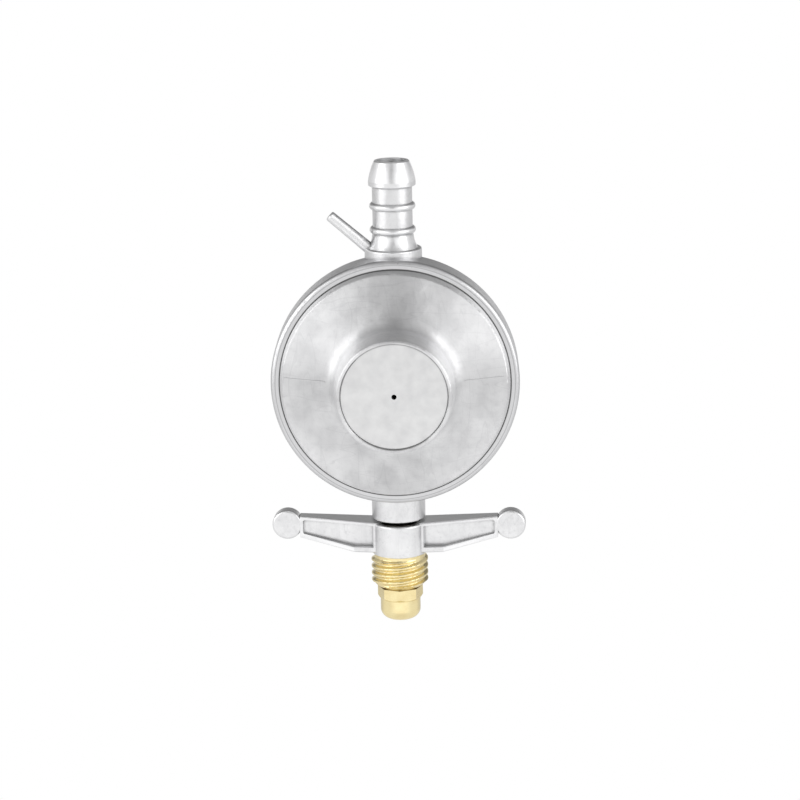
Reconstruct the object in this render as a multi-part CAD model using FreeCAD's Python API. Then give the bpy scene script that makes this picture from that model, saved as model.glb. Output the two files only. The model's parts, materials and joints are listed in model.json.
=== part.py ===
import FreeCAD, Part
import math
import os

# Low pressure gas regulator with a wing nut inlet and a hose barb outlet. Units: mm.
# The inlet and outlet share one vertical axis (X = 0, Y = 0), and the round face looks
# towards -Y. Heights are counted from the tip of the inlet nose while the shapes are
# made, and everything is lowered at the end so that Z = 0 is the nose's shoulder.

# ---- the stack along the vertical axis, from the nose tip upwards
nose_len = 6.0
octagon_len = 3.4
thread_len = 9.5
hub_len = 9.2
nut_play = 1.1
stem_len = 6.8
rim_r = 34.2

# ---- running gaps
run_gap = 0.05
bush_gap = 0.5
seam_gap = 0.1
seat_gap = 0.02

# ---- body casting
rim_front_y = -11.0
rim_back_y = -1.0
back_y = 10.5
wall = 2.0
rim_wall = 2.4
groove_wall = 1.5
ledge_wall = 4.7
rim_round = 1.2
rim_back_round = 1.7
rim_step = 3.0
bowl_lean = 7.6
bowl_round = 2.0
stem_r = 7.5
stem_round = 0.4
stem_boss_r = 6.0
stop_r = 3.8

# ---- cover and its clamped flange
lip_thick = 0.8
flange_thick = 2.0
bead_thick = 1.0
step_h = 2.2
step_in = 0.8
step_round = 0.6
cone_rise = 1.4
cover_wall = 1.7
boss_foot_r = 16.7
boss_foot_round = 3.4
boss_r = 15.7
boss_round = 0.9
boss_h = 16.0
cap_r = 14.6
cap_recess = 0.7
cap_thick = 0.8
vent_r = 0.7
spring_bore_r = 13.0
bore_step = 3.0
line_w = 0.35
line_h = 0.25
line_len = 11.2
line_angles = (4.0, 175.0)

# ---- adjusting nut, spring and diaphragm pack
adjust_depth = 1.7
adjust_thick = 4.5
adjust_hole_r = 5.5
slot_w = 2.6
slot_deep = 2.0
plate_y = -8.0
plate_thick = 1.0
plate_lip_h = 0.8
plate_edge = 1.5
diaphragm_thick = 0.8
conv_width = 5.5
conv_edge = 1.0
conv_rise = 2.2
washer_r = 8.0
washer_thick = 0.8
post_r = 2.5
post_tail = 3.4
post_head_r = 3.6
post_end_y = 4.2
nut_flats = 8.0
nut_h = 2.4
spring_r = 9.0
wire_r = 0.7
spring_turns = 5.0
closed_pitch = 1.03

# ---- lever, its pin and screws
pin_y = 6.0
pin_r = 1.0
pin_half = 8.6
tip_y = 2.0
tip_r = 1.0
tip_half = 1.2
short_tip_r = 0.9
short_half = 1.5
eye_r = 1.9
lever_half = 2.8
lever_thick = 1.0
lever_neck = 6.0
ear_in = 3.2
ear_out = 9.2
ear_below = 3.4
ear_above = 5.0
screw_x = 6.3
screw_dz = 2.2
screw_r = 1.1
screw_head_r = 2.4
screw_head_h = 1.4
screw_slot_w = 0.7
screw_slot_deep = 0.6
screw_len = 2.6

# ---- valve and jet
holder_r = 4.2
holder_below = 5.4
holder_above = 3.3
guide_below = 2.3
pad_r = 3.0
pad_out = 0.37
pad_deep = 1.1
valve_open = 0.82
jet_lip_h = 0.9
jet_head_h = 1.0
jet_len = 5.39
jet_head_gap = 0.1
jet_shoulder = 0.5
jet_lip_r = 1.6
jet_hole_r = 0.8
jet_bore_r = 1.7
chamber_r = 3.0
chamber_len = 1.8
window_half = 1.8

# ---- inlet nipple
nipple_in = 7.3
nipple_thread_r = 5.0
nipple_chamfer = 0.6
shank_r = 4.8
nose_r = 5.65
nose_edge_r = 3.0
octagon_flats = 11.8
octagon_turn_r = 5.7
octagon_chamfer = 0.85
gas_hole_r = 2.2
filter_r = 3.0
filter_len = 7.0
filter_set = 1.2
ring_up = 1.9
ring_thick = 1.3
ring_inner_r = 3.9
ring_edge = 0.35

# ---- threaded bush and the wing nut's hub
thread_r = 8.0
thread_pitch = 2.0
thread_depth = 1.2
thread_flat = 0.25
thread_relief = 1.1
bush_taper = 1.6
hub_r = 7.65
hub_round = 0.6
sleeve_r = 6.2
sleeve_set = 2.0
sleeve_edge = 0.3
nut_turn = -2.6

# ---- wings: heights from the hub's bottom or top
wing_x = 31.5
wing_up = 8.3
button_r = 4.2
button_half = 2.1
button_round = 0.7
arm_root_x = 5.0
arm_end_x = 27.9
knee_x = 12.5
arm_top_hub = 0.3
arm_top_end = 1.6
arm_low = 0.7
arm_low_end = 4.6
arm_half_hub = 4.0
arm_half_end = 2.0
arm_round = 0.45
web_half_hub = 1.7
web_half_end = 1.1
pocket_round = 0.5
border_top = 1.0
border_low = 1.5
border_end = 0.9

# ---- outlet barb and slanted rod: heights above the rim's top
collar_r = 7.9
collar_h = 1.8
collar_round = 0.5
flare_r = 6.8
neck_r = 5.7
neck_h = 5.3
shank_out_r = 5.5
ridge_r = 6.35
ridge_hs = (6.8, 13.4)
ridge_half = 1.0
bulb_r = 6.5
bulb_h = 19.1
bulb_edge = 0.15
bulb_land = 1.1
mouth_r = 4.65
barb_h = 25.9
outlet_r = 3.9
rod_root = (-3.6, -1.0)
rod_tip = (-17.3, 10.9)
rod_root_r = 1.7
rod_tip_r = 1.45
rod_round = 0.5

# ---- places that follow from the sizes
bush_bottom = nose_len + octagon_len + bush_gap
hub_bottom = bush_bottom + thread_len
hub_top = hub_bottom + hub_len
stem_bottom = hub_top + nut_play
rim_bottom = stem_bottom + stem_len
disc_z = rim_bottom + rim_r
rim_top = disc_z + rim_r
lip_r = rim_r - rim_wall
flange_r = rim_r - groove_wall
ledge_r = rim_r - ledge_wall
inner_floor = disc_z - ledge_r
inner_roof = disc_z + ledge_r
in_back = back_y - wall
flange_front = rim_front_y + lip_thick
flange_back = flange_front + flange_thick
ledge_y = flange_back + bead_thick
cone_outer_r = lip_r - step_in
cone_y0 = rim_front_y - step_h
cone_y1 = cone_y0 - cone_rise
boss_y = rim_front_y - boss_h
cap_y = boss_y + cap_recess
adjust_face = boss_y + adjust_depth
adjust_back = adjust_face + adjust_thick
conv_out = ledge_r - conv_edge
conv_in = conv_out - conv_width
plate_r = conv_in - plate_edge
nipple_top = stem_bottom + nipple_in
ring_z = stem_bottom + ring_up
jet_bottom = nipple_top + chamber_len
jet_head_z = jet_bottom + jet_len
jet_head_top = jet_head_z + jet_head_h
seat_z = jet_head_top + jet_lip_h
holder_bottom = seat_z + seat_gap + valve_open + pad_out
pin_z = holder_bottom + holder_below
holder_top = pin_z + holder_above
jet_head_r = holder_r - jet_head_gap
jet_thread_r = jet_head_r - jet_shoulder
guide_top = pin_z - guide_below
O = FreeCAD.Vector(0, 0, 0)
X = FreeCAD.Vector(1, 0, 0)
Y = FreeCAD.Vector(0, 1, 0)
Z = FreeCAD.Vector(0, 0, 1)
DISC = FreeCAD.Vector(0, 0, disc_z)


def rounded(steps):
    """Turn each corner of three numbers (a, b, radius) into an arc that is tangent to both sides."""
    made = []
    for k, step in enumerate(steps):
        if len(step) != 3:
            made.append(step)
            continue
        corner = FreeCAD.Vector(step[0], step[1], 0)
        before = FreeCAD.Vector(*steps[k - 1][-2:], 0) if len(steps[k - 1]) == 4 else \
            FreeCAD.Vector(*steps[k - 1][:2], 0)
        after = FreeCAD.Vector(*steps[(k + 1) % len(steps)][:2], 0)
        u = before - corner
        v = after - corner
        room = 0.49 * min(u.Length, v.Length)
        u.normalize()
        v.normalize()
        half = u.getAngle(v) / 2
        reach = min(step[2] / math.tan(half), room)
        radius = reach * math.tan(half)
        middle = u + v
        middle.normalize()
        start = corner + u * reach
        mid = corner + middle * (radius / math.sin(half) - radius)
        end = corner + v * reach
        made += [(start.x, start.y), (mid.x, mid.y, end.x, end.y)]
    return made


def outline(steps, point):
    """Closed wire from (a, b) points, (a, b, radius) corners and (a, b, c, d) arcs through (a, b) to (c, d)."""
    edges = []
    steps = rounded(steps)
    last = point(*steps[0])
    for step in steps[1:] + [steps[0]]:
        end = point(*step[-2:])
        if last.distanceToPoint(end) < 1e-6:
            continue
        if len(step) == 4:
            edges.append(Part.Arc(last, point(*step[:2]), end).toShape())
        else:
            edges.append(Part.makeLine(last, end))
        last = end
    return Part.Wire(edges)


def about_disc(steps):
    """Turn an (r, y) outline about the disc's axis."""
    wire = outline(steps, lambda r, y: FreeCAD.Vector(r, y, disc_z))
    return Part.Face(wire).revolve(DISC, Y, 360)


def about_stem(steps):
    """Turn an (r, z) outline about the vertical axis."""
    wire = outline(steps, lambda r, z: FreeCAD.Vector(r, 0, z))
    return Part.Face(wire).revolve(O, Z, 360)


def rod_z(r, z0, z1):
    return Part.makeCylinder(r, z1 - z0, FreeCAD.Vector(0, 0, z0), Z)


def rod_y(r, y0, y1, x=0.0, z=disc_z):
    return Part.makeCylinder(r, y1 - y0, FreeCAD.Vector(x, y0, z), Y)


def rod_x(r, half, y, z):
    return Part.makeCylinder(r, 2 * half, FreeCAD.Vector(-half, y, z), X)


def block(x0, x1, y0, y1, z0, z1):
    return Part.makeBox(x1 - x0, y1 - y0, z1 - z0, FreeCAD.Vector(x0, y0, z0))


def prism_xz(points, half):
    wire = outline(points, lambda x, z: FreeCAD.Vector(x, -half, z))
    return Part.Face(wire).extrude(Y * (2 * half))


def prism_xy(points, z0, z1):
    wire = outline(points, lambda x, y: FreeCAD.Vector(x, y, z0))
    return Part.Face(wire).extrude(Z * (z1 - z0))


def prism_yz(points, half):
    wire = outline(points, lambda y, z: FreeCAD.Vector(-half, y, z))
    return Part.Face(wire).extrude(X * (2 * half))


def polygon(sides, flats):
    """Corners of a regular polygon, by its width across flats, with a corner on the first axis."""
    r = flats / 2 / math.cos(math.pi / sides)
    turns = [2 * math.pi * k / sides for k in range(sides)]
    return [(r * math.cos(t), r * math.sin(t)) for t in turns]


def join(first, others):
    shape = first
    for other in others:
        shape = shape.fuse(other)
    return shape.removeSplitter()


def mirrored(shape):
    return shape.mirror(O, X)


def body_casting():
    bowl_out = rim_r - rim_step
    outer = about_disc([
        (0, back_y), (0, rim_front_y), (rim_r, rim_front_y, rim_round),
        (rim_r, rim_back_y + rim_back_round, rim_back_round),
        (bowl_out, rim_back_y + rim_back_round + 0.2, 1.0),
        (bowl_out - bowl_lean, back_y, bowl_round),
    ])
    deep = inner_floor + 5.8
    stem = about_stem([
        (0, stem_bottom), (stem_r, stem_bottom, stem_round), (stem_r, deep), (0, deep),
    ])
    hollow = about_disc([
        (0, rim_front_y - 1), (lip_r, rim_front_y - 1), (lip_r, flange_front),
        (flange_r, flange_front), (flange_r, ledge_y), (ledge_r, ledge_y), (ledge_r, rim_back_y),
        (ledge_r - bowl_lean + 0.2, in_back, bowl_round - 0.4), (0, in_back),
    ])
    shape = join(outer, [stem, barb(), rod()]).cut(hollow)
    boss = rod_z(stem_boss_r, (rim_bottom + inner_floor) / 2, guide_top)
    stop = rod_y(stop_r, post_end_y, in_back + wall / 4)
    ear = block(ear_in, ear_out, pin_y - pin_r, in_back + wall / 4, pin_z - ear_below, pin_z + ear_above)
    shape = join(shape, [boss, stop, ear, mirrored(ear)])
    # stem bore for the nipple, the gas chamber, the jet's thread and the valve's guide
    shape = shape.cut(rod_z(nipple_thread_r, stem_bottom - 1, nipple_top))
    shape = shape.cut(rod_z(chamber_r, nipple_top - 0.5, jet_bottom + 0.2))
    shape = shape.cut(rod_z(jet_thread_r, jet_bottom - 0.3, jet_head_z))
    shape = shape.cut(rod_z(holder_r + run_gap, jet_head_z, guide_top + 1))
    # windows that let the gas leave the seat on both sides
    through = stem_boss_r + stem_r
    shape = shape.cut(block(-through, through, -window_half, window_half, jet_head_top, holder_bottom + 1.0))
    # outlet way from the bowl to the barb's mouth
    shape = shape.cut(rod_z(outlet_r, inner_roof - ledge_r / 3, rim_top + barb_h + 1))
    # cradles for the lever pin and holes for its screws
    shape = shape.cut(rod_x(pin_r, pin_half, pin_y, pin_z))
    shape = shape.cut(block(-pin_half, pin_half, 0, pin_y, pin_z - pin_r, pin_z + pin_r))
    hole = rod_y(screw_r, pin_y - pin_r - 1, pin_y - pin_r + screw_len, screw_x, pin_z + screw_dz)
    return shape.cut(hole).cut(mirrored(hole))


def barb():
    z = rim_top
    ridges = []
    for h in ridge_hs:
        ridges += [(shank_out_r, z + h - ridge_half), (ridge_r, z + h, shank_out_r, z + h + ridge_half)]
    land = z + bulb_h + bulb_edge + bulb_land
    return about_stem([
        (0, inner_roof - 0.4), (collar_r, inner_roof - 0.4), (collar_r, z + collar_h, collar_round),
        (flare_r, z + collar_h), (neck_r + 0.25, z + collar_h + 2.0, neck_r, z + neck_h),
    ] + ridges + [
        (shank_out_r, z + bulb_h - 0.5), (bulb_r, z + bulb_h, 0.25), (bulb_r, land),
        (bulb_r - 0.62, land + 2.75, mouth_r + 0.25, z + barb_h - 0.25),
        (mouth_r, z + barb_h), (0, z + barb_h),
    ])


def rod():
    """The slanted rod beside the barb, with a rounded end."""
    run = math.hypot(rod_tip[0] - rod_root[0], rod_tip[1] - rod_root[1])
    shape = about_stem([
        (0, 0), (rod_root_r, 0), (rod_tip_r, run, rod_round), (0, run),
    ])
    lean = math.degrees(math.atan2(rod_tip[0] - rod_root[0], rod_tip[1] - rod_root[1]))
    shape.rotate(O, Y, lean)
    shape.translate(FreeCAD.Vector(rod_root[0], 0, rim_top + rod_root[1]))
    return shape


def cover():
    slope = cone_rise / (cone_outer_r - boss_foot_r)
    shape = about_disc([
        (flange_r, flange_front), (lip_r - seam_gap, flange_front), (lip_r - seam_gap, rim_front_y),
        (cone_outer_r, cone_y0, step_round), (boss_foot_r, cone_y1, boss_foot_round),
        (boss_r, boss_y, boss_round), (cap_r, boss_y, 0.2), (cap_r, cap_y + cap_thick),
        (spring_bore_r, cap_y + cap_thick), (spring_bore_r, adjust_back + bore_step),
        (boss_foot_r - cover_wall, cone_y1 + cover_wall, 1.5), (cone_outer_r - cover_wall, cone_y0 + cover_wall),
        (cone_outer_r - cover_wall, flange_back), (flange_r, flange_back),
    ])
    # two fine raised lines that cross the sloping annulus
    start = cone_outer_r - line_len - step_round
    for angle in line_angles:
        ridge = Part.makeBox(line_len, line_h + cover_wall / 2, line_w,
                             FreeCAD.Vector(0, -line_h, -line_w / 2))
        ridge.rotate(O, Z, math.degrees(math.atan(slope)))
        ridge.translate(FreeCAD.Vector(start, cone_y0 - slope * (cone_outer_r - start), disc_z))
        ridge.rotate(DISC, Y, -angle)
        shape = shape.fuse(ridge)
    return shape


def closing_cap():
    return about_disc([
        (vent_r, cap_y), (cap_r, cap_y, 0.3), (cap_r, cap_y + cap_thick), (vent_r, cap_y + cap_thick),
    ])


def adjusting_nut():
    ring = about_disc([
        (adjust_hole_r, adjust_face), (spring_bore_r, adjust_face, 0.5), (spring_bore_r, adjust_back, 0.5),
        (adjust_hole_r, adjust_back),
    ])
    slot = block(-spring_bore_r, spring_bore_r, adjust_face - 1, adjust_face + slot_deep,
                 disc_z - slot_w / 2, disc_z + slot_w / 2)
    return ring.cut(slot)


def diaphragm():
    t = diaphragm_thick
    back = plate_y + t
    crown = plate_y - conv_rise
    mid_r = (conv_in + conv_out) / 2
    return about_disc([
        (post_r, plate_y), (conv_in, plate_y), (mid_r, crown, conv_out, plate_y),
        (ledge_r - 0.3, flange_back), (flange_r, flange_back), (flange_r, ledge_y),
        (ledge_r - 0.6, ledge_y), (conv_out - t, back), (mid_r, crown + t, conv_in + t, back),
        (post_r, back),
    ])


def diaphragm_plate():
    front = plate_y - plate_thick
    return about_disc([
        (post_r, front), (spring_r - 2.6, front), (spring_r - 2.9, front - 1.2),
        (spring_r - 2.6, front - 1.5, spring_r - 2.2, front - 1.2),
        (spring_r - 1.6, front), (plate_r - 1.4, front),
        (plate_r - 0.9, front - plate_lip_h), (plate_r, front - plate_lip_h),
        (plate_r + 0.1, front + 0.2), (plate_r - 0.7, plate_y), (post_r, plate_y),
    ])


def backing_washer():
    front = plate_y + diaphragm_thick
    back = front + washer_thick
    return about_disc([(post_r, front), (washer_r, front), (washer_r, back, 0.3), (post_r, back)])


def diaphragm_post():
    head_y = plate_y + diaphragm_thick + washer_thick
    tail_y = plate_y - plate_thick - post_tail
    shape = about_disc([
        (0, tail_y), (post_r, tail_y, 0.4), (post_r, head_y), (post_head_r, head_y),
        (post_head_r, post_end_y, 0.3), (0, post_end_y),
    ])
    # the slot that holds the lever's tip, with a flared mouth below
    play = tip_r + run_gap
    side = tip_half + run_gap
    edge = post_head_r + 1
    slot = block(-side, side, tip_y - play, tip_y + play, disc_z - edge, disc_z + edge)
    mouth = prism_yz([
        (tip_y, disc_z - 1.7), (tip_y + play, disc_z - 1.7), (tip_y + play + 1.0, disc_z - edge),
        (tip_y, disc_z - edge),
    ], side)
    return shape.cut(slot).cut(mouth)


def post_nut():
    front = plate_y - plate_thick
    wire = outline(polygon(6, nut_flats), lambda x, z: FreeCAD.Vector(x, front - nut_h, disc_z + z))
    nut = Part.Face(wire).extrude(Y * nut_h)
    return nut.cut(rod_y(post_r, front - nut_h - 1, front + 1))


def main_spring():
    y0 = adjust_back + wire_r + seat_gap
    y1 = plate_y - plate_thick - wire_r - seat_gap
    closed = 2 * wire_r * closed_pitch
    rise = (y1 - y0 - 2 * closed) / (spring_turns - 2)
    per_turn = 16
    points = []
    for k in range(int(spring_turns * per_turn) + 1):
        turn = k / per_turn
        if turn < 1:
            y = y0 + closed * turn
        elif turn < spring_turns - 1:
            y = y0 + closed + rise * (turn - 1)
        else:
            y = y1 - closed * (spring_turns - turn)
        a = 2 * math.pi * turn
        points.append(FreeCAD.Vector(spring_r * math.cos(a), y, disc_z + spring_r * math.sin(a)))
    curve = Part.BSplineCurve()
    curve.interpolate(points)
    spine = Part.Wire([curve.toShape()])
    ring = Part.Wire([Part.makeCircle(wire_r, points[0], curve.tangent(curve.FirstParameter)[0])])
    return spine.makePipeShell([ring], True, True)


def lever():
    eye = rod_x(eye_r, lever_half, pin_y, pin_z)
    tip = rod_x(tip_r, tip_half, tip_y, disc_z)
    lean = math.atan2(pin_y - tip_y, disc_z - pin_z)
    dy = lever_thick / 2 * math.cos(lean)
    dz = lever_thick / 2 * math.sin(lean)
    side = prism_yz([
        (pin_y - dy, pin_z - dz), (pin_y + dy, pin_z + dz), (tip_y + dy, disc_z + dz),
        (tip_y - dy, disc_z - dz),
    ], lever_half)
    half = [(lever_half, pin_z - 1), (lever_half, pin_z + 4), (tip_half, disc_z - lever_neck),
            (tip_half, disc_z + 1)]
    front = prism_xz(half + [(-x, z) for x, z in reversed(half)], pin_y + 1)
    reach = block(-short_half, short_half, 0, pin_y - eye_r + 0.5, pin_z - 0.5, pin_z + 0.5)
    short_tip = rod_x(short_tip_r, short_half, 0, pin_z)
    shape = join(eye, [side.common(front), tip, reach, short_tip])
    return shape.cut(rod_x(pin_r + run_gap, lever_half + 1, pin_y, pin_z))


def lever_pin():
    return rod_x(pin_r, pin_half, pin_y, pin_z)


def pin_screw():
    face = pin_y - pin_r
    top = face - screw_head_h
    z = pin_z + screw_dz
    head = rod_y(screw_head_r, top, face, screw_x, z)
    shank = rod_y(screw_r, face, face + screw_len, screw_x, z)
    slot = block(screw_x - screw_head_r, screw_x + screw_head_r, top - 1, top + screw_slot_deep,
                 z - screw_slot_w / 2, z + screw_slot_w / 2)
    return head.fuse(shank).cut(slot)


def valve_holder():
    shape = about_stem([
        (0, holder_bottom + pad_deep), (pad_r, holder_bottom + pad_deep), (pad_r, holder_bottom),
        (holder_r, holder_bottom, 0.3), (holder_r, holder_top, 0.5), (0, holder_top),
    ])
    # the slot for the lever's short end, open to the back with a flared mouth
    play = short_tip_r + run_gap
    slot = block(-holder_r - 1, holder_r + 1, -play - 0.15, holder_r + 1, pin_z - play, pin_z + play)
    mouth = prism_yz([
        (1.4, pin_z - play), (holder_r + 0.8, pin_z - play - 0.5), (holder_r + 0.8, pin_z + play + 1.0),
        (1.4, pin_z + play),
    ], holder_r + 1)
    return shape.cut(slot).cut(mouth)


def valve_pad():
    return rod_z(pad_r, holder_bottom - pad_out, holder_bottom + pad_deep)


def seat_jet():
    return about_stem([
        (jet_hole_r, seat_z), (jet_lip_r - 0.5, seat_z), (jet_lip_r, jet_head_top),
        (jet_head_r, jet_head_top), (jet_head_r, jet_head_z), (jet_thread_r, jet_head_z),
        (jet_thread_r, jet_bottom), (jet_bore_r, jet_bottom), (jet_bore_r, jet_head_z - 1.1),
        (jet_hole_r, jet_head_z - 0.5),
    ])


def inlet_nipple():
    corners = polygon(8, octagon_flats)
    widest = corners[0][0] + 0.1
    head_top = nose_len + octagon_len
    turned = about_stem([
        (0, nose_len), (octagon_turn_r, nose_len), (widest, nose_len + octagon_chamfer),
        (widest, head_top), (0, head_top),
    ])
    head = prism_xy(corners, nose_len, head_top).common(turned)
    nose = about_stem([(0, 0), (nose_r, 0, nose_edge_r), (nose_r, nose_len), (0, nose_len)])
    shank = about_stem([
        (0, head_top - 0.5), (shank_r, head_top - 0.5), (shank_r, stem_bottom),
        (nipple_thread_r, stem_bottom), (nipple_thread_r, ring_z), (ring_inner_r, ring_z),
        (ring_inner_r, ring_z + ring_thick), (nipple_thread_r, ring_z + ring_thick),
        (nipple_thread_r, nipple_top - nipple_chamfer), (nipple_thread_r - nipple_chamfer, nipple_top),
        (0, nipple_top),
    ])
    shape = join(nose, [head, shank])
    shape = shape.cut(rod_z(gas_hole_r, -1, nipple_top + 1))
    return shape.cut(rod_z(filter_r, -1, filter_set + filter_len))


def inlet_filter():
    return rod_z(filter_r, filter_set, filter_set + filter_len)


def nipple_ring():
    top = ring_z + ring_thick
    return about_stem([
        (ring_inner_r, ring_z, ring_edge), (nipple_thread_r, ring_z, ring_edge),
        (nipple_thread_r, top, ring_edge), (ring_inner_r, top, ring_edge),
    ])


def threaded_bush():
    root = thread_r - thread_depth
    bore = shank_r + run_gap
    thread_top = hub_bottom - thread_relief
    turns = int((thread_len - thread_relief) / thread_pitch)
    steps = [(bore, bush_bottom), (thread_r - bush_taper, bush_bottom)]
    for k in range(turns):
        low = thread_top - thread_pitch * (turns - k)
        crest = low + thread_pitch / 2
        steps += [(thread_r - bush_taper if k == 0 else root, low + thread_flat / 2),
                  (thread_r, crest - thread_flat / 2), (thread_r, crest + thread_flat / 2)]
    sleeve_top = hub_top - sleeve_set
    steps += [(root, thread_top - thread_flat / 2), (root, hub_bottom), (sleeve_r, hub_bottom),
              (sleeve_r, sleeve_top, sleeve_edge), (bore, sleeve_top)]
    shape = about_stem(steps)
    shape.rotate(O, Z, nut_turn)
    return shape


def wing():
    """One arm with its pocketed faces and the round button at its end."""
    run = arm_end_x - hub_r
    top_slope = (arm_top_end - arm_top_hub) / run
    top = hub_top + arm_top_hub
    low = hub_bottom + arm_low
    low_end = hub_bottom + arm_low_end
    top_end = hub_top + arm_top_end

    def plan(half_hub, half_end):
        grow = (half_hub - half_end) * (hub_r - arm_root_x) / run
        return prism_xy([
            (arm_root_x, -half_hub - grow), (arm_end_x, -half_end), (arm_end_x, half_end),
            (arm_root_x, half_hub + grow),
        ], hub_bottom - 1, hub_top + 5)

    arm = prism_xz([
        (arm_root_x, low), (knee_x, low, 3.0), (arm_end_x, low_end), (arm_end_x, top_end),
        (arm_root_x, top - top_slope * (hub_r - arm_root_x)),
    ], arm_half_hub + 1).common(plan(arm_half_hub, arm_half_end))
    arm = arm.makeFillet(arm_round, [e for e in arm.Edges if e.BoundBox.XLength > knee_x - arm_root_x - 3])
    pocket_end = arm_end_x - border_end
    pocket = prism_xz([
        (hub_r - 0.6, low + border_low), (knee_x + 0.2, low + border_low, 2.0),
        (pocket_end, low_end + border_low - 0.3, pocket_round), (pocket_end, top_end - border_top, pocket_round),
        (hub_r - 0.6, top - border_top),
    ], arm_half_hub + 2)
    arm = arm.cut(pocket.cut(plan(web_half_hub, web_half_end)))
    button = Part.makeCylinder(button_r, 2 * button_half, FreeCAD.Vector(wing_x, -button_half, hub_bottom + wing_up),
                               Y)
    rims = [e for e in button.Edges if e.Curve.TypeId == "Part::GeomCircle"]
    return arm.fuse(button.makeFillet(button_round, rims))


def wing_nut():
    hub = about_stem([
        (0, hub_bottom), (hub_r, hub_bottom, 0.3), (hub_r, hub_top, hub_round), (0, hub_top),
    ])
    right = wing()
    shape = join(hub, [right, mirrored(right)])
    shape = shape.cut(rod_z(sleeve_r, hub_bottom - 2, hub_top + 3))
    shape.rotate(O, Z, nut_turn)
    return shape


NODES = {
    "body_casting": body_casting,
    "cover": cover,
    "closing_cap": closing_cap,
    "adjusting_nut": adjusting_nut,
    "main_spring": main_spring,
    "diaphragm": diaphragm,
    "diaphragm_plate": diaphragm_plate,
    "backing_washer": backing_washer,
    "diaphragm_post": diaphragm_post,
    "post_nut": post_nut,
    "lever": lever,
    "lever_pin": lever_pin,
    "pin_screw_left": lambda: mirrored(pin_screw()),
    "pin_screw_right": pin_screw,
    "valve_holder": valve_holder,
    "valve_pad": valve_pad,
    "seat_jet": seat_jet,
    "inlet_nipple": inlet_nipple,
    "inlet_filter": inlet_filter,
    "nipple_ring": nipple_ring,
    "threaded_bush": threaded_bush,
    "wing_nut": wing_nut,
}

os.makedirs("parts", exist_ok=True)
for name, make in NODES.items():
    shape = make()
    shape.translate(Z * -nose_len)
    if shape.ShapeType != "Solid" and len(shape.Solids) == 1:
        shape = shape.Solids[0]
    print(name, shape.ShapeType, len(shape.Solids), shape.isValid(), round(shape.Volume, 1))
    shape.exportStep("parts/" + name + ".step")
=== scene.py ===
import json
import math

import bpy
from mathutils import Matrix, Vector


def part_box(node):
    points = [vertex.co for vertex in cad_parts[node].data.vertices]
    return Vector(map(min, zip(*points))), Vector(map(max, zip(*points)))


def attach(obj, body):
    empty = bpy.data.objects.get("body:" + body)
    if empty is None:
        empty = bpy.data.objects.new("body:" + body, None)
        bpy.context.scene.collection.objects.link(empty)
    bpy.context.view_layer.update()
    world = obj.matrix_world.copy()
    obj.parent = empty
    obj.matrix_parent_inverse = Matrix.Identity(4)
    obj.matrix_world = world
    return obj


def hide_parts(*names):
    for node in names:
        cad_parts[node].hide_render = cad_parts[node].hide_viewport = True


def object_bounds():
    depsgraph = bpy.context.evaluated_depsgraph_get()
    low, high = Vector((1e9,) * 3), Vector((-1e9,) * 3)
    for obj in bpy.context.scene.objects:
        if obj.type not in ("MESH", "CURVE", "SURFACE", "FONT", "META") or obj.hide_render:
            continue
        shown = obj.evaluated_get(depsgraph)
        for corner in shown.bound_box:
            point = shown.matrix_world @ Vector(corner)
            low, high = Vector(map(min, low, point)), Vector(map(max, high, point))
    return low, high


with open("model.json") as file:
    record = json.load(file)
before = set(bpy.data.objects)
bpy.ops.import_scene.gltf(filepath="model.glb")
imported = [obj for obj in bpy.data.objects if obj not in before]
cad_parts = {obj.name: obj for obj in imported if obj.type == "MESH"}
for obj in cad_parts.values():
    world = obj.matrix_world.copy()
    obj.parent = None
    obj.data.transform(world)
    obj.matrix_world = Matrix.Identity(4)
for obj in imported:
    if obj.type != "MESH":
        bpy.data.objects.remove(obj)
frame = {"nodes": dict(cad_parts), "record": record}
CAD_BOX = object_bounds()
NODES = frame["nodes"]
MM = 0.001

# ---- places taken from the frame
cover_lo, cover_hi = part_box("cover")
DISC = Vector(((cover_lo.x + cover_hi.x) / 2, 0, (cover_lo.z + cover_hi.z) / 2))
BASE_Z = CAD_BOX[0].z
HUB_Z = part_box("wing_nut")[0].z

# ---- circles about the disc's axis: outer edge, seam of rim and cover, crease in the rim, closing cap
RIM_R = 34.2 * MM
SEAM_R = 31.75 * MM
RIM_CREASE_R = 32.95 * MM
CAP_R = 14.6 * MM
# dark colour of the painted shade in corners, gaps, seams and creases
PAINTED_SHADE_DARK = (0.14, 0.14, 0.14)
# grey of the painted shade on the rim band
RIM_SHADE_GREY = (0.58, 0.58, 0.59)

# ---- camera: in front, a little above, with a slight roll
TARGET = Vector((1.0, 0.0, 57.4)) * MM
DISTANCE = 716 * MM
ELEVATION = math.radians(13.9)
AZIMUTH = math.radians(1.3)
ROLL = math.radians(1.2)
LENS = 115.6
SENSOR_WIDTH = 36.0


def make_camera():
    back = Vector((math.sin(AZIMUTH) * math.cos(ELEVATION), -math.cos(AZIMUTH) * math.cos(ELEVATION),
                   math.sin(ELEVATION)))
    right = Vector((math.cos(AZIMUTH), math.sin(AZIMUTH), 0))
    up = back.cross(right)
    side = right * math.cos(ROLL) - up * math.sin(ROLL)
    top = right * math.sin(ROLL) + up * math.cos(ROLL)
    data = bpy.data.cameras.new("camera")
    data.lens = LENS
    data.sensor_width = SENSOR_WIDTH
    data.clip_start = 0.05
    data.clip_end = 20.0
    cam = bpy.data.objects.new("camera", data)
    cam.matrix_world = Matrix((
        (side.x, top.x, back.x, 0), (side.y, top.y, back.y, 0), (side.z, top.z, back.z, 0),
        (0, 0, 0, 1)))
    cam.location = TARGET + back * DISTANCE
    bpy.context.scene.collection.objects.link(cam)
    bpy.context.scene.camera = cam


# ---- node graph helpers
def new_material(name):
    mat = bpy.data.materials.new(name)
    mat.use_nodes = True
    tree = mat.node_tree
    tree.nodes.clear()
    return mat, tree


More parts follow.
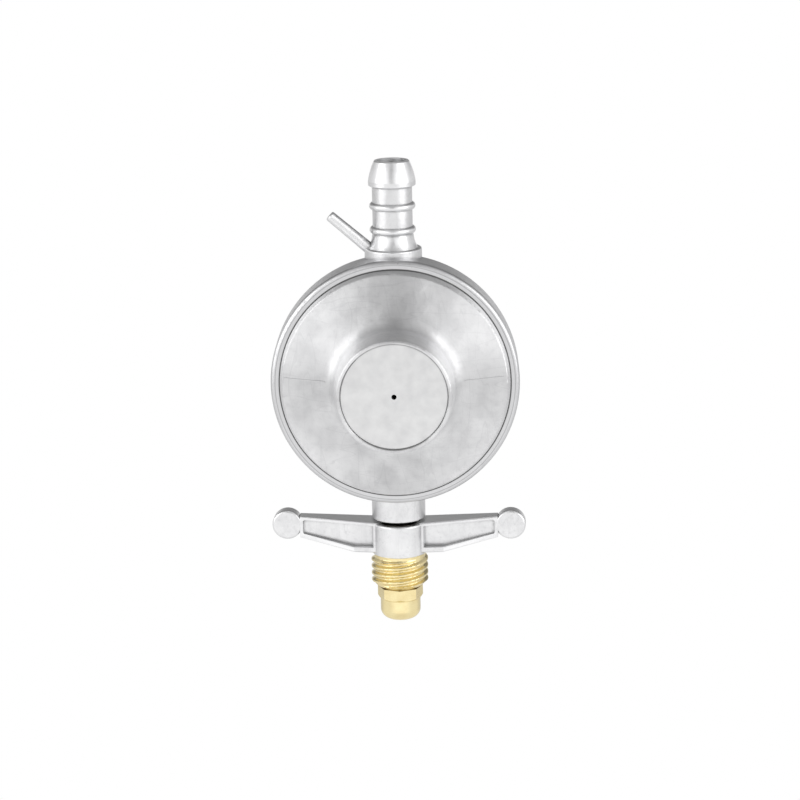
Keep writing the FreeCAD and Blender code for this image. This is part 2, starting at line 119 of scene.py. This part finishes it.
def node(tree, kind, **settings):
    made = tree.nodes.new(kind)
    for key, value in settings.items():
        setattr(made, key, value)
    return made


def noise(tree, coords, scale, detail=3.0, rough=0.5, stretch=None):
    """Noise in object space; scale is in features per millimetre."""
    source = coords
    if stretch:
        mapping = node(tree, "ShaderNodeMapping")
        mapping.inputs["Scale"].default_value = stretch
        tree.links.new(coords, mapping.inputs["Vector"])
        source = mapping.outputs["Vector"]
    made = node(tree, "ShaderNodeTexNoise")
    made.inputs["Scale"].default_value = scale / MM
    made.inputs["Detail"].default_value = detail
    made.inputs["Roughness"].default_value = rough
    tree.links.new(source, made.inputs["Vector"])
    return made.outputs["Fac"]


def remap(tree, value, low, high, from_low=0.3, from_high=0.7):
    made = node(tree, "ShaderNodeMapRange")
    made.inputs["From Min"].default_value = from_low
    made.inputs["From Max"].default_value = from_high
    made.inputs["To Min"].default_value = low
    made.inputs["To Max"].default_value = high
    tree.links.new(value, made.inputs["Value"])
    return made.outputs["Result"]


def blend_colour(tree, factor, first, second):
    made = node(tree, "ShaderNodeMix", data_type="RGBA")
    for socket, value in (("A", first), ("B", second)):
        target = [s for s in made.inputs if s.name == socket and s.type == "RGBA"][0]
        if isinstance(value, tuple):
            target.default_value = (*value, 1.0)
        else:
            tree.links.new(value, target)
    tree.links.new(factor, made.inputs["Factor"])
    return [s for s in made.outputs if s.type == "RGBA"][0]


def bump(tree, height, depth_mm, strength=1.0, normal=None):
    made = node(tree, "ShaderNodeBump")
    made.inputs["Strength"].default_value = strength
    made.inputs["Distance"].default_value = depth_mm * MM
    tree.links.new(height, made.inputs["Height"])
    if normal is not None:
        tree.links.new(normal, made.inputs["Normal"])
    return made.outputs["Normal"]


def finish_material(mat, tree, colour, rough, normal, metal=1.0, aniso=0.0, tangent=None):
    shader = node(tree, "ShaderNodeBsdfPrincipled")
    shader.inputs["Metallic"].default_value = metal
    shader.inputs["Anisotropic"].default_value = aniso
    tree.links.new(colour, shader.inputs["Base Color"])
    tree.links.new(rough, shader.inputs["Roughness"])
    tree.links.new(normal, shader.inputs["Normal"])
    if tangent is not None:
        tree.links.new(tangent, shader.inputs["Tangent"])
    out = node(tree, "ShaderNodeOutputMaterial")
    tree.links.new(shader.outputs["BSDF"], out.inputs["Surface"])
    return mat


def disc_radius(tree, coords):
    """Distance from the disc's axis, in metres, and the vector it is measured along."""
    shift = node(tree, "ShaderNodeMapping", vector_type="POINT")
    shift.inputs["Location"].default_value = -DISC
    tree.links.new(coords, shift.inputs["Vector"])
    flat = node(tree, "ShaderNodeVectorMath", operation="MULTIPLY")
    tree.links.new(shift.outputs["Vector"], flat.inputs[0])
    flat.inputs[1].default_value = (1, 0, 1)
    length = node(tree, "ShaderNodeVectorMath", operation="LENGTH")
    tree.links.new(flat.outputs["Vector"], length.inputs[0])
    return length.outputs["Value"], flat.outputs["Vector"]


def calc(tree, operation, *values):
    made = node(tree, "ShaderNodeMath", operation=operation)
    for k, value in enumerate(values):
        if isinstance(value, (int, float)):
            made.inputs[k].default_value = value
        else:
            tree.links.new(value, made.inputs[k])
    return made.outputs["Value"]


def band(tree, value, centre, half, soft):
    """1 where the value is within half of the centre, fading out over soft."""
    off = calc(tree, "ABSOLUTE", calc(tree, "SUBTRACT", value, centre))
    return remap(tree, off, 1.0, 0.0, half, half + soft)


SCRATCH_WIDTH = 0.006
AO_SAMPLES = 8
AO_RANGE = (0.45, 0.9)


def scratches(tree, coords, scale, stretch, turn):
    """Thin long marks: the narrow zero crossings of stretched noise."""
    mapping = node(tree, "ShaderNodeMapping")
    mapping.inputs["Scale"].default_value = stretch
    mapping.inputs["Rotation"].default_value = turn
    tree.links.new(coords, mapping.inputs["Vector"])
    value = noise(tree, mapping.outputs["Vector"], scale, 1.0, 0.4)
    return calc(tree, "COMPARE", value, 0.5, SCRATCH_WIDTH)


def painted_corner_shade(tree, reach):
    """Painted shade mask from ambient occlusion: 1 deep in corners and gaps narrower than the reach, 0 on
    open faces.
    """
    shade = node(tree, "ShaderNodeAmbientOcclusion", samples=AO_SAMPLES, only_local=False)
    shade.inputs["Distance"].default_value = reach
    return remap(tree, shade.outputs["AO"], 1.0, 0.0, *AO_RANGE)


# ---- depths of the bumps in millimetres, reach and strength of the painted corner shade, width of the painted shade lines
CAST_FLOW_DEPTH = 0.05
CAST_PATCH_DEPTH = 0.25
CAST_CORNER_SHADE = (1.2 * MM, 0.55)
PLAIN_GRAIN = 0.004
PLAIN_CORNER_SHADE = (0.8 * MM, 0.35)
RING_PITCH = 0.22
RING_DEPTH = 0.006
TURNED_CLOUD_DEPTH = 0.03
TURNED_PATCH_DEPTH = 0.3
TURNED_ROUGH = (0.36, 0.44)
TURNED_ANISOTROPY = 0.95
SEAM_LINE = (0.14 * MM, 0.15 * MM)
CREASE_LINE = (0.06 * MM, 0.12 * MM)
TURNED_LINE = (0.08 * MM, 0.14 * MM)
# strength of the painted shade on the rim band
RIM_SHADE_STRENGTH = 0.75
CREASE_STRENGTH = 0.4
# dark of the painted shade on brass inside the hub
HUB_SHADE_DARK = (0.05, 0.045, 0.04)


def cast_metal(name, colour, dark, rough=(0.26, 0.42), grain=0.012, rim=False):
    """Die-cast zinc alloy: satin skin, fine grain, cold flow marks, dull patches and handling marks, with
    painted shade in corners and gaps; with rim, painted shade on the rim band and in its seam and crease.
    """
    mat, tree = new_material(name)
    coords = node(tree, "ShaderNodeTexCoord").outputs["Object"]
    fine = noise(tree, coords, 2.2, 4.0, 0.6)
    speckle = noise(tree, coords, 0.9, 5.0, 0.7)
    patches = noise(tree, coords, 0.16, 4.0, 0.6)
    flow = noise(tree, coords, 0.5, 4.0, 0.6, (1.0, 1.0, 0.25))
    tint = blend_colour(tree, remap(tree, patches, 0.0, 0.5), colour, dark)
    tint = blend_colour(tree, remap(tree, flow, 0.0, 0.4, 0.5, 0.75), tint, dark)
    tint = blend_colour(tree, remap(tree, speckle, 0.0, 0.5, 0.52, 0.7), tint, dark)
    marks = scratches(tree, coords, 0.25, (1.0, 1.0, 0.2), (0.3, 0.8, 0.2))
    tint = blend_colour(tree, remap(tree, marks, 0.0, 0.35, 0.0, 1.0), tint, dark)
    edge = node(tree, "ShaderNodeNewGeometry").outputs["Pointiness"]
    worn = remap(tree, edge, 0.0, 1.0, 0.505, 0.56)
    tint = blend_colour(tree, worn, tint, tuple(min(1.0, c * 1.12) for c in colour))
    # painted shade: corners and gaps darkened by ambient occlusion
    reach, strength = CAST_CORNER_SHADE
    corner_shade_mask = calc(tree, "MULTIPLY", painted_corner_shade(tree, reach), strength)
    tint = blend_colour(tree, corner_shade_mask, tint, PAINTED_SHADE_DARK)
    if rim:
        # painted shade on the rim band, and painted shade lines in the rim's seam with the cover and in its
        # crease
        radius, _ = disc_radius(tree, coords)
        rim_shade_band = band(tree, radius, (SEAM_R + RIM_R) / 2, (RIM_R - SEAM_R) / 2, 0.3 * MM)
        tint = blend_colour(tree, calc(tree, "MULTIPLY", rim_shade_band, RIM_SHADE_STRENGTH), tint, RIM_SHADE_GREY)
        tint = blend_colour(tree, band(tree, radius, SEAM_R, *SEAM_LINE), tint, PAINTED_SHADE_DARK)
        crease = band(tree, radius, RIM_CREASE_R, *CREASE_LINE)
        tint = blend_colour(tree, calc(tree, "MULTIPLY", crease, CREASE_STRENGTH), tint, PAINTED_SHADE_DARK)
    roughness = remap(tree, speckle, *rough)
    normal = bump(tree, fine, grain, 0.7)
    normal = bump(tree, flow, CAST_FLOW_DEPTH, 0.5, normal)
    normal = bump(tree, patches, CAST_PATCH_DEPTH, 0.5, normal)
    return finish_material(mat, tree, tint, roughness, normal)


def plain_metal(name, colour, dark, rough=(0.25, 0.4), shade_above=None):
    """Machined or pressed metal with painted shade in its corners; above the given height it is painted dark,
    as shade inside the hub.
    """
    mat, tree = new_material(name)
    coords = node(tree, "ShaderNodeTexCoord").outputs["Object"]
    fine = noise(tree, coords, 3.0, 4.0, 0.6)
    patches = noise(tree, coords, 0.3, 3.0, 0.5)
    tint = blend_colour(tree, remap(tree, patches, 0.0, 0.7), colour, dark)
    # painted shade: brass above the given height sits in shadow inside the hub
    if shade_above is not None:
        split = node(tree, "ShaderNodeSeparateXYZ")
        tree.links.new(coords, split.inputs["Vector"])
        above = remap(tree, split.outputs["Z"], 0.0, 1.0, shade_above, shade_above + MM)
        tint = blend_colour(tree, above, tint, HUB_SHADE_DARK)
    # painted shade: corners and gaps darkened by ambient occlusion
    reach, strength = PLAIN_CORNER_SHADE
    corner_shade_mask = calc(tree, "MULTIPLY", painted_corner_shade(tree, reach), strength)
    tint = blend_colour(tree, corner_shade_mask, tint, tuple(c * 0.4 for c in dark))
    return finish_material(mat, tree, tint, remap(tree, patches, *rough), bump(tree, fine, PLAIN_GRAIN, 0.6))


def rubber(name, colour, light):
    mat, tree = new_material(name)
    coords = node(tree, "ShaderNodeTexCoord").outputs["Object"]
    fine = noise(tree, coords, 4.0, 4.0, 0.6)
    patches = noise(tree, coords, 0.4, 3.0, 0.5)
    tint = blend_colour(tree, remap(tree, patches, 0.0, 0.6), colour, light)
    return finish_material(mat, tree, tint, remap(tree, fine, 0.5, 0.7), bump(tree, fine, 0.01, 0.6),
                           metal=0.0)


def turned_metal(name, colour, dark):
    """Faced on a lathe: fine rings about the disc's axis over the cast skin, with painted shade lines at the
    rim seam and the cap's edge.
    """
    mat, tree = new_material(name)
    coords = node(tree, "ShaderNodeTexCoord").outputs["Object"]
    radius, flat = disc_radius(tree, coords)
    line = node(tree, "ShaderNodeCombineXYZ")
    tree.links.new(radius, line.inputs["X"])
    rings = noise(tree, line.outputs["Vector"], 1 / RING_PITCH, 3.0, 0.7)
    patches = noise(tree, coords, 0.15, 3.0, 0.5)
    tint = blend_colour(tree, remap(tree, patches, 0.0, 0.5), colour, dark)
    tint = blend_colour(tree, remap(tree, rings, 0.0, 0.3), tint, dark)
    cloud = noise(tree, coords, 0.6, 5.0, 0.7)
    tint = blend_colour(tree, remap(tree, cloud, 0.0, 0.4, 0.5, 0.75), tint, dark)
    for stretch, turn in (((1.0, 1.0, 0.15), (0.0, 0.5, 0.0)), ((0.15, 1.0, 1.0), (0.0, 0.2, 0.0))):
        marks = scratches(tree, coords, 0.22, stretch, turn)
        tint = blend_colour(tree, remap(tree, marks, 0.0, 0.3, 0.0, 1.0), tint, dark)
    # painted shade lines in the seam with the rim and at the cap's edge, stronger or weaker with the patches
    for centre, strength in ((SEAM_R, 0.9), (CAP_R, 0.45)):
        line = band(tree, radius, centre, *TURNED_LINE)
        line = calc(tree, "MULTIPLY", line, remap(tree, patches, strength * 0.5, strength))
        tint = blend_colour(tree, line, tint, PAINTED_SHADE_DARK)
    normal = bump(tree, rings, RING_DEPTH, 0.6)
    normal = bump(tree, cloud, TURNED_CLOUD_DEPTH, 0.5, normal)
    normal = bump(tree, patches, TURNED_PATCH_DEPTH, 0.5, normal)
    around = node(tree, "ShaderNodeVectorMath", operation="CROSS_PRODUCT")
    tree.links.new(flat, around.inputs[0])
    around.inputs[1].default_value = (0, 1, 0)
    across = node(tree, "ShaderNodeVectorMath", operation="CROSS_PRODUCT")
    tree.links.new(node(tree, "ShaderNodeNewGeometry").outputs["Normal"], across.inputs[0])
    tree.links.new(around.outputs["Vector"], across.inputs[1])
    unit = node(tree, "ShaderNodeVectorMath", operation="NORMALIZE")
    tree.links.new(across.outputs["Vector"], unit.inputs[0])
    return finish_material(mat, tree, tint, remap(tree, patches, *TURNED_ROUGH), normal,
                           aniso=TURNED_ANISOTROPY, tangent=unit.outputs["Vector"])


# ---- the studio: how bright the room looks in the metal, by direction
AHEAD_HIGH = 0.65
AHEAD_LOW = 1.35
CARD = 0.10
CARD_EDGE = (0.11, 0.20)
CARD_HIGH = 0.45
SIDES = 0.97
BEHIND = 0.24
FLOOR_NEAR = 1.25
FLOOR_UNDER = 0.95
FLOOR_FAR = 0.98
FLOOR_SIDE = 0.82
FLOOR_BACK = 0.70
FLOOR_DROP = 45 * MM
FLOOR_HALF = 3.0
FLOOR_PALE = (0.86, 0.86, 0.86)
BEHIND_SIDES = 0.9
SOFTBOX_PLACE = (0.8, -0.45, 0.3)
SOFTBOX_AIM = (0, 0, 0.06)
SOFTBOX_SIZE = (0.7, 0.9)
SOFTBOX_POWER = 2.6


def ramp(tree, value, low, high, to_low, to_high):
    """Smooth step of a value from one level to another."""
    made = node(tree, "ShaderNodeMapRange", interpolation_type="SMOOTHSTEP")
    for name, level in (("From Min", low), ("From Max", high), ("To Min", to_low), ("To Max", to_high)):
        made.inputs[name].default_value = level
    tree.links.new(value, made.inputs["Value"])
    return made.outputs["Result"]


def mix_value(tree, factor, first, second):
    made = node(tree, "ShaderNodeMix", data_type="FLOAT")
    tree.links.new(factor, made.inputs["Factor"])
    for name, value in (("A", first), ("B", second)):
        if isinstance(value, (int, float)):
            made.inputs[name].default_value = value
        else:
            tree.links.new(value, made.inputs[name])
    return made.outputs["Result"]


def white_to_camera(name, colour):
    """Pale floor: plain white to the camera, and in the metal a level that depends on the place."""
    mat, tree = new_material(name)
    path = node(tree, "ShaderNodeLightPath")
    seen = calc(tree, "MAXIMUM", path.outputs["Is Camera Ray"], path.outputs["Is Glossy Ray"])
    place = node(tree, "ShaderNodeSeparateXYZ")
    tree.links.new(node(tree, "ShaderNodeNewGeometry").outputs["Position"], place.inputs["Vector"])
    level = ramp(tree, place.outputs["Y"], -0.45, -0.2, FLOOR_FAR, FLOOR_NEAR)
    side = ramp(tree, calc(tree, "ABSOLUTE", place.outputs["X"]), 0.12, 0.35, 0.0, 1.0)
    level = mix_value(tree, side, level, FLOOR_SIDE)
    level = mix_value(tree, ramp(tree, place.outputs["Y"], -0.16, -0.06, 0.0, 1.0), level, FLOOR_UNDER)
    level = mix_value(tree, ramp(tree, place.outputs["Y"], 0.02, 0.12, 0.0, 1.0), level, FLOOR_BACK)
    level = mix_value(tree, path.outputs["Is Camera Ray"], level, 1.0)
    diffuse = node(tree, "ShaderNodeBsdfDiffuse")
    diffuse.inputs["Color"].default_value = (*colour, 1)
    glow = node(tree, "ShaderNodeEmission")
    glow.inputs["Color"].default_value = (1, 1, 1, 1)
    tree.links.new(level, glow.inputs["Strength"])
    mix = node(tree, "ShaderNodeMixShader")
    tree.links.new(seen, mix.inputs["Fac"])
    tree.links.new(diffuse.outputs["BSDF"], mix.inputs[1])
    tree.links.new(glow.outputs["Emission"], mix.inputs[2])
    out = node(tree, "ShaderNodeOutputMaterial")
    tree.links.new(mix.outputs["Shader"], out.inputs["Surface"])
    return mat


def make_floor():
    mesh = bpy.data.meshes.new("floor")
    half = FLOOR_HALF
    z = BASE_Z - FLOOR_DROP
    mesh.from_pydata([(-half, -half, z), (half, -half, z), (half, half, z), (-half, half, z)], [],
                     [(0, 1, 2, 3)])
    floor = bpy.data.objects.new("floor", mesh)
    bpy.context.scene.collection.objects.link(floor)
    mesh.materials.append(white_to_camera("floor_white", FLOOR_PALE))


def softbox(name, place):
    data = bpy.data.lights.new(name, "AREA")
    data.shape = "RECTANGLE"
    data.size, data.size_y = SOFTBOX_SIZE
    data.energy = SOFTBOX_POWER
    light = bpy.data.objects.new(name, data)
    light.location = place
    light.rotation_euler = (Vector(SOFTBOX_AIM) - place).to_track_quat("-Z", "Y").to_euler()
    bpy.context.scene.collection.objects.link(light)


def background(tree, strength):
    made = node(tree, "ShaderNodeBackground")
    made.inputs["Color"].default_value = (1, 1, 1, 1)
    if isinstance(strength, float):
        made.inputs["Strength"].default_value = strength
    else:
        tree.links.new(strength, made.inputs["Strength"])
    return made.outputs["Background"]


def make_world():
    """White to the camera. In the metal: bright strips either side of a dark card ahead, a dim back."""
    world = bpy.data.worlds.new("studio")
    world.use_nodes = True
    tree = world.node_tree
    tree.nodes.clear()
    split = node(tree, "ShaderNodeSeparateXYZ")
    tree.links.new(node(tree, "ShaderNodeTexCoord").outputs["Generated"], split.inputs["Vector"])
    up = split.outputs["Z"]
    across = calc(tree, "ABSOLUTE", split.outputs["X"])
    ahead = ramp(tree, up, 0.25, 0.75, AHEAD_LOW, AHEAD_HIGH)
    card = ramp(tree, across, *CARD_EDGE, 1.0, 0.0)
    card = calc(tree, "MULTIPLY", card, ramp(tree, up, 0.02, 0.16, 0.0, 1.0))
    card = calc(tree, "MULTIPLY", card, ramp(tree, up, 0.35, 0.6, 1.0, CARD_HIGH))
    ahead = mix_value(tree, card, ahead, CARD)
    ahead = mix_value(tree, ramp(tree, across, 0.6, 0.85, 0.0, 1.0), ahead, SIDES)
    behind = ramp(tree, up, 0.03, 0.2, BEHIND_SIDES, BEHIND)
    behind = mix_value(tree, ramp(tree, across, 0.6, 0.95, 0.0, 1.0), behind, BEHIND_SIDES)
    level = mix_value(tree, ramp(tree, split.outputs["Y"], -0.25, 0.2, 0.0, 1.0), ahead, behind)
    path = node(tree, "ShaderNodeLightPath")
    seen = calc(tree, "MAXIMUM", path.outputs["Is Camera Ray"], path.outputs["Is Transmission Ray"])
    mix = node(tree, "ShaderNodeMixShader")
    tree.links.new(seen, mix.inputs["Fac"])
    tree.links.new(background(tree, level), mix.inputs[1])
    tree.links.new(background(tree, 1.0), mix.inputs[2])
    out = node(tree, "ShaderNodeOutputWorld")
    tree.links.new(mix.outputs["Shader"], out.inputs["Surface"])
    bpy.context.scene.world = world


def make_lights():
    x, y, z = SOFTBOX_PLACE
    softbox("left_softbox", Vector((-x, y, z)))
    softbox("right_softbox", Vector((x, y, z)))


make_camera()
make_world()
make_lights()
make_floor()

ZINC = (0.80, 0.80, 0.805)
ZINC_DARK = (0.60, 0.60, 0.61)
BRASS = (0.89, 0.77, 0.44)
BRASS_DARK = (0.80, 0.65, 0.34)
MATERIALS = {
    "die_cast": cast_metal("die_cast_zinc", ZINC, ZINC_DARK),
    "cover_metal": turned_metal("turned_zinc", ZINC, ZINC_DARK),
    "cap_metal": plain_metal("pressed_disc", (0.76, 0.76, 0.76), (0.62, 0.62, 0.625), (0.30, 0.44)),
    # brass higher than 3 mm above the hub's bottom gets painted shade
    "yellow_brass": plain_metal("yellow_brass", BRASS, BRASS_DARK, (0.16, 0.28), shade_above=HUB_Z + 3 * MM),
    "sintered_bronze": cast_metal("sintered_bronze", (0.55, 0.38, 0.2), (0.35, 0.24, 0.14), (0.5, 0.7), 0.06),
    "plated_steel": plain_metal("plated_steel", (0.72, 0.73, 0.75), (0.6, 0.61, 0.62)),
    "spring_steel": plain_metal("spring_steel", (0.5, 0.51, 0.53), (0.38, 0.38, 0.4)),
    "nitrile": rubber("nitrile", (0.02, 0.02, 0.02), (0.05, 0.05, 0.05)),
}
SLOT_OF = {part["node"]: part["material_slot"] for part in frame["record"]["subparts"]}
for name, piece in NODES.items():
    piece.data.materials.clear()
    piece.data.materials.append(MATERIALS[SLOT_OF[name]])
NODES["body_casting"].data.materials[0] = cast_metal("die_cast_body", ZINC, ZINC_DARK, rim=True)


# ---- brass bush with its real thread: two starts, right hand
THREAD_PITCH = 2.0 * MM
STARTS = 2
THREAD_DEPTH = 0.95 * MM
RELIEF = 1.0 * MM
RUN_OUT = 0.6 * MM
WAVE_STEEPNESS = 0.68
LEAD_IN = 1.5 * MM
LEAD_IN_DEPTH = 1.6 * MM
FACE_EDGE = (1.9 * MM, 0.1 * MM)
BUSH_BORE = 4.85 * MM
SLEEVE_R = 6.2 * MM
SLEEVE_CHAMFER = 0.3 * MM
CLEARANCE = 0.02 * MM
SIDES_ROUND = 192
LEVELS = 72


def thread_radius(angle, z, low, high, crest):
    """Radius of the threaded surface, with a chamfered start and a plain relief under the hub."""
    phase = (z - high) / THREAD_PITCH - STARTS * angle / (2 * math.pi)
    wave = min(1.0, max(0.0, 0.5 + WAVE_STEEPNESS * math.cos(2 * math.pi * phase)))
    fade = min(1.0, max(0.0, (high - RELIEF - z) / RUN_OUT))
    end = crest - LEAD_IN_DEPTH + max(0.0, z - low) * LEAD_IN_DEPTH / LEAD_IN
    return min(crest - THREAD_DEPTH * (1 - wave * fade), end)


def ring_mesh(name, rings):
    """Closed ring-shaped mesh: each ring is a list of points, and the last ring joins the first."""
    mesh = bpy.data.meshes.new(name)
    count = len(rings[0])
    points = [p for ring in rings for p in ring]
    faces = []
    for k in range(len(rings)):
        a = k * count
        b = (k + 1) % len(rings) * count
        faces += [(a + j, a + (j + 1) % count, b + (j + 1) % count, b + j) for j in range(count)]
    mesh.from_pydata(points, [], faces)
    mesh.shade_smooth()
    mesh.set_sharp_from_angle(angle=math.radians(50))
    made = bpy.data.objects.new(name, mesh)
    bpy.context.scene.collection.objects.link(made)
    return made


def make_bush():
    lo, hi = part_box("threaded_bush")
    crest = hi.x
    turns = [2 * math.pi * k / SIDES_ROUND for k in range(SIDES_ROUND)]

    def ring(radius, z):
        """A circle at a height; the radius is a number or a function of the angle."""
        at = radius if callable(radius) else lambda t: radius
        return [(at(t) * math.cos(t), at(t) * math.sin(t), z) for t in turns]

    edge_in, edge_up = FACE_EDGE
    rings = [ring(BUSH_BORE, lo.z), ring(crest - edge_in, lo.z)]
    start, end = lo.z + edge_up, HUB_Z - CLEARANCE
    for k in range(LEVELS + 1):
        z = start + (end - start) * k / LEVELS
        rings.append(ring(lambda t: thread_radius(t, z, lo.z, HUB_Z, crest), z))
    sleeve = SLEEVE_R - CLEARANCE
    rings += [ring(sleeve, end), ring(sleeve, hi.z - SLEEVE_CHAMFER),
              ring(SLEEVE_R - SLEEVE_CHAMFER, hi.z), ring(BUSH_BORE, hi.z)]
    bush = ring_mesh("threaded_bush_detail", rings)
    bush.data.materials.append(MATERIALS["yellow_brass"])
    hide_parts("threaded_bush")
    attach(bush, "turning_nut")


make_bush()

bpy.context.scene.view_settings.view_transform = "Standard"
